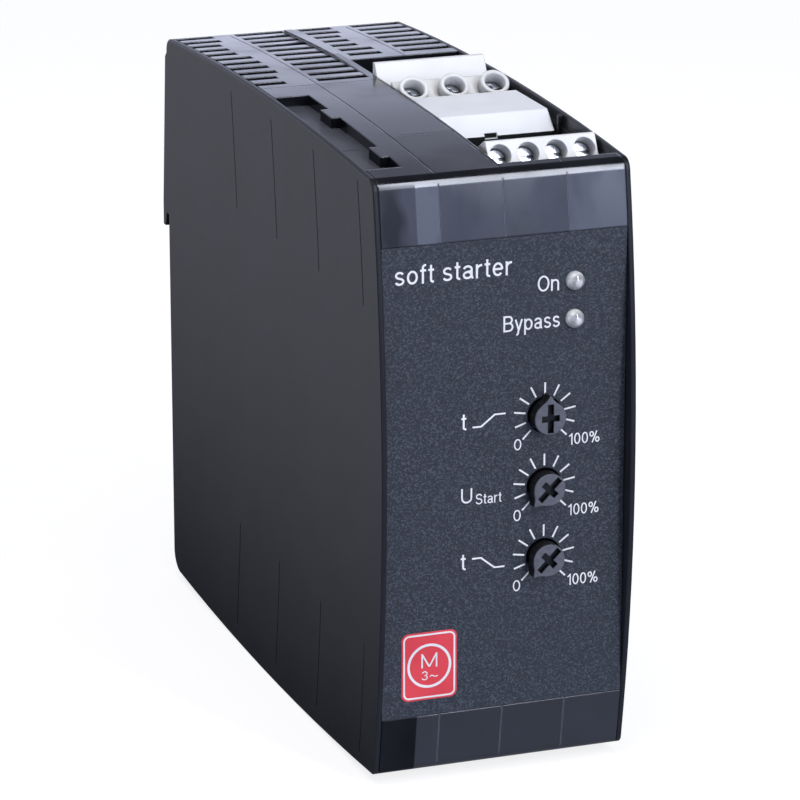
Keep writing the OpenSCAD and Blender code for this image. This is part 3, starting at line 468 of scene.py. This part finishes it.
# Plain letters of even stroke: width and strokes, for capitals one unit high
LETTERS = {
    " ": (0.2, []),
    "%": (0.88, [oval(0.2, 0.75, 0.14, 0.19), oval(0.68, 0.25, 0.14, 0.19),
                 [(0.63, 1), (0.25, 0)]]),
    "0": (0.54, [oval(0.27, 0.5, 0.21, 0.44)]),
    "1": (0.36, [[(0.28, 0), (0.28, 1)], [(0.28, 0.92), (0.05, 0.74)]]),
    "3": (0.54, [arc(0.26, 0.73, 0.19, 0.21, 165, -90) + arc(0.26, 0.28, 0.21, 0.22, 90, -165)]),
    "B": (0.66, [[(0.06, 0), (0.06, 1)],
                 [(0.06, 0.94), (0.2, 0.94)] + arc(0.36, 0.735, 0.2, 0.205, 90, -90)
                 + [(0.06, 0.53)],
                 [(0.06, 0.53), (0.2, 0.53)] + arc(0.37, 0.295, 0.23, 0.235, 90, -90)
                 + [(0.06, 0.06)]]),
    "M": (0.82, [[(0.06, 0), (0.06, 1)], [(0.06, 0.97), (0.41, 0.06)],
                 [(0.41, 0.06), (0.76, 0.97)], [(0.76, 1), (0.76, 0)]]),
    "O": (0.78, [oval(0.39, 0.5, 0.33, 0.44)]),
    "S": (0.64, [arc(0.32, 0.725, 0.24, 0.215, 15, 255) + arc(0.32, 0.285, 0.26, 0.225, 75, -170)]),
    "U": (0.7, [[(0.06, 1)] + arc(0.35, 0.35, 0.29, 0.29, 180, 360) + [(0.64, 1)]]),
    "a": (0.53, [arc(0.25, 0.49, 0.19, 0.17, 165, 0) + arc(0.52, 0.13, 0.08, 0.07, 180, 270),
                 oval(0.24, 0.215, 0.18, 0.155), [(0.24, 0.37), (0.44, 0.42)]]),
    "e": (0.53, [[(0.06, 0.37), (0.47, 0.37)], arc(0.265, 0.36, 0.205, 0.3, 0, 320)]),
    "f": (0.29, [[(0.13, 0)] + arc(0.26, 0.8, 0.13, 0.14, 180, 80), [(0, 0.67), (0.28, 0.67)]]),
    "n": (0.54, [[(0.06, 0), (0.06, 0.72)], arc(0.27, 0.45, 0.21, 0.21, 180, 0) + [(0.48, 0)]]),
    "o": (0.54, [oval(0.27, 0.36, 0.21, 0.3)]),
    "p": (0.56, [[(0.06, -0.28), (0.06, 0.72)], oval(0.28, 0.36, 0.22, 0.3)]),
    "r": (0.33, [[(0.06, 0), (0.06, 0.72)], arc(0.29, 0.42, 0.23, 0.24, 180, 85)]),
    "s": (0.48, [arc(0.24, 0.515, 0.165, 0.145, 20, 255)
                 + arc(0.24, 0.205, 0.18, 0.145, 75, -165)]),
    "t": (0.28, [[(0.13, 0.92)] + arc(0.24, 0.16, 0.11, 0.1, 180, 285), [(0, 0.67), (0.27, 0.67)]]),
    "y": (0.5, [[(0.04, 0.72), (0.26, 0.03)],
                [(0.46, 0.72)] + arc(0.09, -0.1, 0.13, 0.13, 20, -90)]),
    "~": (0.7, [arc(0.2, 0.32, 0.15, 0.12, 180, 30) + arc(0.5, 0.42, 0.15, 0.12, 210, 360)]),
}

# Words on the panel: first and last place across, foot and height of capitals, in mm
PANEL_WORDS = [
    ("soft starter", (-19.3, 1.2), 87.6, 3.3),
    ("On", (5.7, 9.5), 84.2, 2.75),
    ("Bypass", (-0.3, 9.7), 77.9, 2.75),
    ("t", (-7.6, -6.7), KNOBS_Z[0] - 1.25, 3.0),
    ("U", (-7.6, -5.6), KNOBS_Z[1] - 1.6, 2.6),
    ("Start", (-5.0, -0.4), KNOBS_Z[1] - 2.0, 1.85),
    ("t", (-7.6, -6.7), KNOBS_Z[2] - 0.9, 3.0),
]
SLOPES = [
    [(-5.6, 62.1), (-4.1, 62.1), (-1.7, 63.95), (0.2, 63.95)],
    [(-5.6, 39.15), (-4.0, 39.15), (-1.6, 37.2), (0.2, 37.2)],
]

# Scale round each knob: inner and outer radius of its marks, their angles, its words as above
TICKS = (3.5, 5.55)
TICK_ANGLES = [-135 + 27 * k for k in range(11)]
SCALE_WORDS = [("0", (-5.5, -4.1), -5.75, 2.0), ("100%", (4.3, 9.9), -5.8, 2.0)]


def print_line(bm, points, width, face):
    """Adds a printed line of even width through points (x, z) in mm."""
    corners = []
    for k, (x, z) in enumerate(points):
        before = Vector(points[max(k - 1, 0)])
        after = Vector(points[min(k + 1, len(points) - 1)])
        along = (after - before).normalized()
        side = Vector((-along.y, along.x)) * width / 2
        for sign in (1, -1):
            for depth in (face, face - INK_T):
                corner = ((x + sign * side.x) * MM, depth, (z + sign * side.y) * MM)
                corners.append(bm.verts.new(corner))
    for k in range(len(points) - 1):
        a = corners[4 * k:4 * k + 4]
        b = corners[4 * k + 4:4 * k + 8]
        for i, j in ((0, 1), (1, 3), (3, 2), (2, 0)):
            bm.faces.new((a[i], a[j], b[j], b[i]))
    for end in (corners[:4], corners[-4:]):
        bm.faces.new((end[0], end[1], end[3], end[2]))


def print_words(bm, words, x, z, face):
    """Adds words, placed from a point in mm; strokes that cross share no plane."""
    for text, (first, last), foot, cap in words:
        width = sum(LETTERS[letter][0] for letter in text) + LETTER_GAP * (len(text) - 1)
        scale = (last - first) / width
        start = x + first
        for letter in text:
            advance, strokes = LETTERS[letter]
            for k, stroke in enumerate(strokes):
                points = [(start + u * scale, z + foot + v * cap) for u, v in stroke]
                print_line(bm, points, WEIGHT * cap, face - LAYER * k)
            start += (advance + LETTER_GAP) * scale


legend = bmesh.new()
print_words(legend, PANEL_WORDS, 0, 0, PANEL_Y)
for slope in SLOPES:
    print_line(legend, slope, STROKE, PANEL_Y)
for z in KNOBS_Z:
    for angle in map(math.radians, TICK_ANGLES):
        spoke = [(KNOB_X + r * math.sin(angle), z + r * math.cos(angle)) for r in TICKS]
        print_line(legend, spoke, STROKE, PANEL_Y)
    print_words(legend, SCALE_WORDS, KNOB_X, z, PANEL_Y)
piece("panel_legends", legend, ink_white, "case")


# Plain badge with the common symbol of a three-phase motor

BADGE_X = (-18.1, -8.25)
BADGE_Z = (15.2, 27.2)
BADGE_MID = (sum(BADGE_X) / 2, sum(BADGE_Z) / 2)
BADGE_FACE = PANEL_Y - 0.08 * MM
BADGE_ROUND = 1.2
BORDER_ROUND = 0.9
BORDER_INSET = 0.45
RING_R = 3.7
RING_STROKE = 0.45
BADGE_WORDS = [("M", (-1.5, 1.5), -0.3, 2.5), ("3~", (-1.4, 1.6), -2.5, 1.6)]


def rounded(x, z, radius, steps=8):
    """Corner points of a rounded rectangle, in mm."""
    points = []
    for cx, cz, start in ((x[1] - radius, z[1] - radius, 0), (x[0] + radius, z[1] - radius, 90),
                          (x[0] + radius, z[0] + radius, 180), (x[1] - radius, z[0] + radius, 270)):
        for k in range(steps + 1):
            angle = math.radians(start + 90 * k / steps)
            points.append((cx + radius * math.cos(angle), cz + radius * math.sin(angle)))
    return points


badge = bmesh.new()
plate(badge, rounded(BADGE_X, BADGE_Z, BADGE_ROUND), PANEL_Y, BADGE_FACE)
piece("motor_badge", badge, badge_red, "case")

border = rounded((BADGE_X[0] + BORDER_INSET, BADGE_X[1] - BORDER_INSET),
                 (BADGE_Z[0] + BORDER_INSET, BADGE_Z[1] - BORDER_INSET), BORDER_ROUND)
circle = [(BADGE_MID[0] + RING_R * math.sin(angle), BADGE_MID[1] + RING_R * math.cos(angle))
          for angle in map(math.radians, range(0, 361, 10))]
print_art = bmesh.new()
print_line(print_art, border + border[:1], STROKE, BADGE_FACE)
print_line(print_art, circle, RING_STROKE, BADGE_FACE)
print_words(print_art, BADGE_WORDS, *BADGE_MID, BADGE_FACE)
piece("motor_badge_print", print_art, ink_white, "case")


# Setting knobs: round heads with a narrow pointer and a cross recess, on a hub and a stem

KNOB_R = 2.8
POINTER = [(1.5, 2.4), (1.1, 2.66), (0.75, 2.98), (0.45, 3.35), (0.22, 3.68), (0.09, 3.88)]
POINTER_GAP = 6
CROSS_LONG, CROSS_SHORT, CROSS_W = 2.5, 1.6, 0.55
CROSS_DEPTH = 1.1 * MM
KNOB_EDGE = 0.15 * MM
FACE_SHARE = 0.96
HUB_R, STEM_R = 2.475, 1.5
KNOB_FRONT, KNOB_BACK = -60.378 * MM, -57.978 * MM
HUB_END, STEM_END = -51.9 * MM, -46.6 * MM
KNOB_REST = (0, -135, -135)


def fill(bm, *loops):
    """Closes a flat face between loops of corners."""
    edges = [bm.edges.get(pair) or bm.edges.new(pair)
             for loop in loops for pair in zip(loop, loop[1:] + loop[:1])]
    bmesh.ops.triangle_fill(bm, use_beauty=True, use_dissolve=False, edges=edges)


def setting_knob(bm, x, z, turn):
    """Adds a knob whose pointer is turned clockwise from straight up."""
    sine, cosine = math.sin(math.radians(turn)), math.cos(math.radians(turn))

    def loop(points, depth, scale=1.0):
        return [bm.verts.new(((x + scale * (u * cosine + v * sine)) * MM, depth,
                              (z + scale * (v * cosine - u * sine)) * MM)) for u, v in points]

    start = math.degrees(math.atan2(POINTER[0][1], POINTER[0][0])) - POINTER_GAP
    outline = [(-u, v) for u, v in POINTER] + POINTER[::-1]
    outline += arc(0, 0, KNOB_R, KNOB_R, start, -180 - start)
    w, a, b = CROSS_W, CROSS_LONG, CROSS_SHORT
    cross = [(w, w), (b, w), (b, -w), (w, -w), (w, -a), (-w, -a),
             (-w, -w), (-b, -w), (-b, w), (-w, w), (-w, a), (w, a)]
    face = loop(outline, KNOB_FRONT, FACE_SHARE)
    rim = loop(outline, KNOB_FRONT + KNOB_EDGE)
    foot = loop(outline, KNOB_BACK)
    mouth = loop(cross, KNOB_FRONT)
    bottom = loop(cross, KNOB_FRONT + CROSS_DEPTH)
    fill(bm, face, mouth)
    fill(bm, foot)
    fill(bm, bottom)
    for first, second in ((face, rim), (rim, foot), (mouth, bottom)):
        skin(bm, first, second)
    for radius, front, back in ((HUB_R, KNOB_BACK, HUB_END), (STEM_R, HUB_END, STEM_END)):
        plate(bm, oval(x, z, radius, radius)[:-1], back, front - KNOB_EDGE)


for name, place, turn in zip(KNOB_NAMES, KNOBS, KNOB_REST):
    head = bmesh.new()
    setting_knob(head, place[0] / MM, place[2] / MM, turn)
    knob = piece(f"knob_{name}_head", head, knob_grey, f"knob_{name}")
    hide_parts(f"knob_{name}")


# Screw sleeves of the power terminals and their tall screw heads

SLEEVE = [(2.62, -0.3), (2.62, 2.0), (2.56, 2.2), (2.4, 2.32), (2.08, 2.32), (1.92, 2.25),
          (1.85, 2.08), (1.85, -2.6), (2.15, -2.6), (2.15, -0.3)]
HEAD_LOW = -3.4 * MM
HEAD_RISE = 1.4 * MM


def lathe(bm, place, axis, profile, around=64):
    """Adds a closed ring turned about an axis; the profile gives radius and height, in mm."""
    turned = axis.to_track_quat("Z", "X")
    rings = []
    for k in range(around):
        angle = 2 * math.pi * k / around
        across = Vector((math.cos(angle), math.sin(angle), 0))
        rings.append([bm.verts.new(place + turned @ (r * across + Vector((0, 0, h))) * MM)
                      for r, h in profile])
    for first, second in zip(rings, rings[1:] + rings[:1]):
        skin(bm, first, second)


def tall_screw(name, place, axis):
    """Stands for a power screw: the same screw with a taller head."""
    mesh = nodes[name].data.copy()
    for vertex in mesh.vertices:
        if (vertex.co - place).dot(axis) > HEAD_LOW:
            vertex.co += axis * HEAD_RISE
    obj = put(f"{name}_tall", mesh)
    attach(obj, name)
    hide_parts(name)


for side in ("top", "bottom"):
    sleeves = bmesh.new()
    for k in (1, 2, 3):
        screw = f"power_screw_{side}_{k}"
        place = Vector(joints[f"{screw}_turn"]["pos_m"])
        axis = Vector(joints[f"{screw}_turn"]["axis"])
        lathe(sleeves, place, axis, SLEEVE)
        tall_screw(screw, place, axis)
    piece(f"power_sleeves_{side}", sleeves, terminal_white, "case", smooth=True)


# Return spring of the rail latch, with closed ends

WIRE_R = 0.2 * MM
TURNS = 9
SPRING_LOW, SPRING_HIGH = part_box("latch_spring")


def coil(bm, low, high, turns, around=20, sides=8):
    """Adds a wire wound between two corners of a box; its first and last turn lie close."""
    middle = (low + high) / 2
    radius = (high.x - low.x) / 2 - WIRE_R
    start = low.z + WIRE_R
    free = high.z - WIRE_R - start - 4 * WIRE_R
    rings = []
    for k in range(turns * around + 1):
        turn = k / around
        angle = 2 * math.pi * turn
        open_turns = min(max(turn - 1, 0), turns - 2)
        closed_turns = min(turn, 1) + max(turn - turns + 1, 0)
        height = start + 2 * WIRE_R * closed_turns + free * open_turns / (turns - 2)
        ring = []
        for i in range(sides):
            round_wire = 2 * math.pi * i / sides
            reach = radius + WIRE_R * math.cos(round_wire)
            ring.append(bm.verts.new((middle.x + reach * math.cos(angle),
                                      middle.y + reach * math.sin(angle),
                                      height + WIRE_R * math.sin(round_wire))))
        rings.append(ring)
    for first, second in zip(rings, rings[1:]):
        skin(bm, first, second)
    bm.faces.new(rings[0])
    bm.faces.new(rings[-1])


wire = bmesh.new()
coil(wire, SPRING_LOW, SPRING_HIGH, TURNS)
spring = piece("return_spring", wire, spring_wire, "case", smooth=True)
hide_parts("latch_spring")
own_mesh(spring)


# Floor, light and camera

FLOOR = 4.0
TARGET = Vector((0.412, -6.0, 51.139)) * MM
AZIMUTH = math.radians(-19.968)
ELEVATION = math.radians(17.263)
DISTANCE = 775.593 * MM
FOCAL_LENGTH = 197.56
SENSOR_W = 36


def blend_shaders(tree, amount, first, second):
    """A mix of two shaders by a value."""
    node = tree.nodes.new("ShaderNodeMixShader")
    tree.links.new(amount, node.inputs["Fac"])
    tree.links.new(first, node.inputs[1])
    tree.links.new(second, node.inputs[2])
    return node.outputs["Shader"]


def floor_material():
    """White floor with a faint shadow; to glossy and transmission rays it glows with a painted shadow beside the
    object and painted pools of light before and behind it.
    """
    material = bpy.data.materials.new("studio_floor")
    material.use_nodes = True
    tree = material.node_tree
    tree.nodes.clear()
    path = tree.nodes.new("ShaderNodeLightPath").outputs
    axes = axes_of(tree, coords(tree, "Object"))
    aside = maths(tree, "ABSOLUTE", axes["X"])
    # Painted shadow and painted pools of light, seen only by glossy and transmission rays: dim beside the object,
    # paler farther out, bright before and behind it.
    beside = spread(tree, aside, (0.025, 0.125), (0.05, 0.5))
    before = spread(tree, axes["Y"], (-0.05, -0.06), (0, 0.95))
    behind = product(tree, spread(tree, axes["Y"], (0.065, 0.08), (0, 0.9)),
                     spread(tree, aside, (0.021, 0.0225), (1, 0)))
    around = maths(tree, "MAXIMUM", beside, before)
    painted_floor_glow = tree.nodes.new("ShaderNodeEmission")
    tree.links.new(ramp(tree, before, [(0.0, (0.92, 0.94, 1.05)), (0.95, (0.8, 0.9, 1.25))]),
                   painted_floor_glow.inputs["Color"])
    tree.links.new(maths(tree, "MAXIMUM", around, behind), painted_floor_glow.inputs["Strength"])
    white = add(tree, "ShaderNodeEmission", Color=(1, 1, 1, 1), Strength=0.8)
    matte = add(tree, "ShaderNodeBsdfDiffuse", Color=(0.3, 0.3, 0.31, 1)).outputs["BSDF"]
    lit = tree.nodes.new("ShaderNodeAddShader")
    tree.links.new(white.outputs["Emission"], lit.inputs[0])
    tree.links.new(matte, lit.inputs[1])
    mirrored = maths(tree, "MAXIMUM", path["Is Glossy Ray"], path["Is Transmission Ray"])
    indirect = blend_shaders(tree, mirrored, matte, painted_floor_glow.outputs["Emission"])
    shown = blend_shaders(tree, path["Is Camera Ray"], indirect, lit.outputs["Shader"])
    out = tree.nodes.new("ShaderNodeOutputMaterial")
    tree.links.new(shown, out.inputs["Surface"])
    return material


def studio_world():
    """Sky that is bright near the horizon, most of all in front, and dim overhead."""
    world = bpy.data.worlds.new("studio")
    world.use_nodes = True
    tree = world.node_tree
    axes = axes_of(tree, coords(tree, "Generated"))
    height = spread(tree, axes["Z"], (-1, 1), (0, 1))
    glow = ramp(tree, height, [(0.5, (1.25, 1.32, 1.68)), (0.59, (1.2, 1.27, 1.62)),
                               (0.68, (0.3, 0.32, 0.42)), (0.8, (0.14, 0.145, 0.18))])
    ahead = (-0.9, -0.4)
    mirrored = tree.nodes.new("ShaderNodeLightPath").outputs["Is Glossy Ray"]
    cool = add(tree, "ShaderNodeMixRGB", Color2=(0.88, 0.98, 1.12, 1))
    cool.blend_type = "MULTIPLY"
    tree.links.new(product(tree, spread(tree, axes["Y"], ahead, (1, 0)), mirrored),
                   cool.inputs["Fac"])
    tree.links.new(glow, cool.inputs["Color1"])
    sky = tree.nodes["Background"]
    tree.links.new(cool.outputs["Color"], sky.inputs["Color"])
    tree.links.new(spread(tree, axes["Y"], ahead, (1.35, 1)), sky.inputs["Strength"])
    return world


def lamp(name, place, size, power, aim=TARGET, colour=(1, 1, 1), roll=0.0):
    """Soft area light at a place, turned to a point and rolled about that line by degrees."""
    data = bpy.data.lights.new(name, "AREA")
    data.color = colour
    data.shape = "RECTANGLE"
    data.size, data.size_y = size
    data.energy = power
    obj = put(name, data)
    obj.location = place
    turn = (Vector(aim) - Vector(place)).to_track_quat("-Z", "Y")
    obj.rotation_euler = (turn @ Quaternion((0, 0, 1), math.radians(roll))).to_euler()
    return obj


floor_mesh = bpy.data.meshes.new("floor")
floor_mesh.from_pydata([(-FLOOR, -FLOOR, 0), (FLOOR, -FLOOR, 0), (FLOOR, FLOOR, 0),
                        (-FLOOR, FLOOR, 0)], [], [(0, 1, 2, 3)])
floor_mesh.materials.append(floor_material())
put("floor", floor_mesh)

bpy.context.scene.world = studio_world()
fill_light = lamp("front_right", (0.34, -0.94, 0.735), (0.16, 1.05), 9.5, aim=(0, 0, 0.5),
                  colour=(0.95, 0.97, 1.0))
fill_light.visible_glossy = False
strip_light = lamp("front_strip", (0.39, -0.95, 0.74), (0.24, 1.2), 14.5, aim=(0, -0.059, 0.105),
                   colour=(0.9, 0.95, 1.08), roll=-12.4)
strip_light.visible_diffuse = False
lamp("overhead", (-0.22, -0.1, 0.8), (0.7, 0.7), 3.8, colour=(1, 0.99, 0.96))

back = Vector((math.sin(AZIMUTH) * math.cos(ELEVATION), -math.cos(AZIMUTH) * math.cos(ELEVATION),
               math.sin(ELEVATION)))
camera_data = bpy.data.cameras.new("camera")
camera_data.lens = FOCAL_LENGTH
camera_data.sensor_width = SENSOR_W
camera = put("camera", camera_data)
camera.location = TARGET + back * DISTANCE
camera.rotation_euler = (-back).to_track_quat("-Z", "Y").to_euler()
bpy.context.scene.camera = camera
bpy.context.scene.view_settings.view_transform = "Standard"
